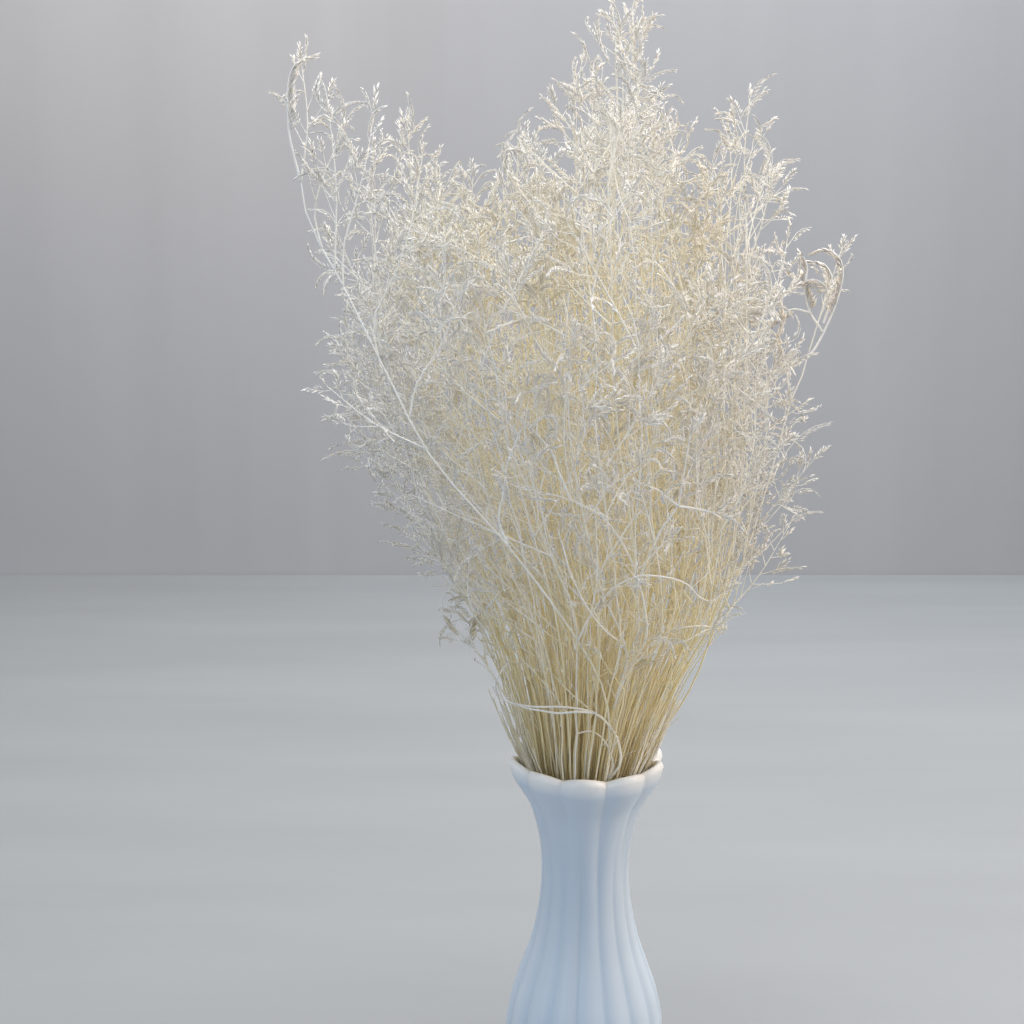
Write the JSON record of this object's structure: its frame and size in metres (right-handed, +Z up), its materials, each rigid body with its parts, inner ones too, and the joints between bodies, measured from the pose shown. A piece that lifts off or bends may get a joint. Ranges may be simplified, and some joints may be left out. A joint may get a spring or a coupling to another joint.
{
  "type": "dried broadleaf statice",
  "caption": "Bleached dried broadleaf statice: fine branching sprays of small florets that fan out of a fluted white ceramic vase with a scalloped mouth, on a flat foot.",
  "frame": {"origin": "centre of the vase's flat foot, on the surface that it stands on", "axes": "+Z up through the vase's axis and the bunch; -Y towards the viewer of the picture, where the long bough crosses the front; +X to the viewer's right"},
  "size_m": [0.2358, 0.1938, 0.5161],
  "materials": {
    "glaze": "soft white glaze, satin gloss",
    "statice": "bleached dried plant, matte, cream to off-white"
  },
  "bodies": {
    "root": {"vase": "glaze", "spray_01": "statice", "spray_02": "statice", "spray_03": "statice", "spray_04": "statice", "spray_05": "statice", "spray_06": "statice", "spray_07": "statice", "spray_08": "statice", "spray_09": "statice", "spray_10": "statice", "spray_11": "statice", "spray_12": "statice", "spray_13": "statice", "spray_14": "statice", "spray_15": "statice", "spray_16": "statice", "spray_17": "statice", "spray_18": "statice", "spray_19": "statice", "spray_20": "statice", "spray_21": "statice", "spray_22": "statice", "spray_23": "statice", "spray_24": "statice", "spray_25": "statice", "spray_26": "statice", "spray_27": "statice", "spray_28": "statice", "spray_29": "statice", "spray_30": "statice"}
  },
  "joints": []
}
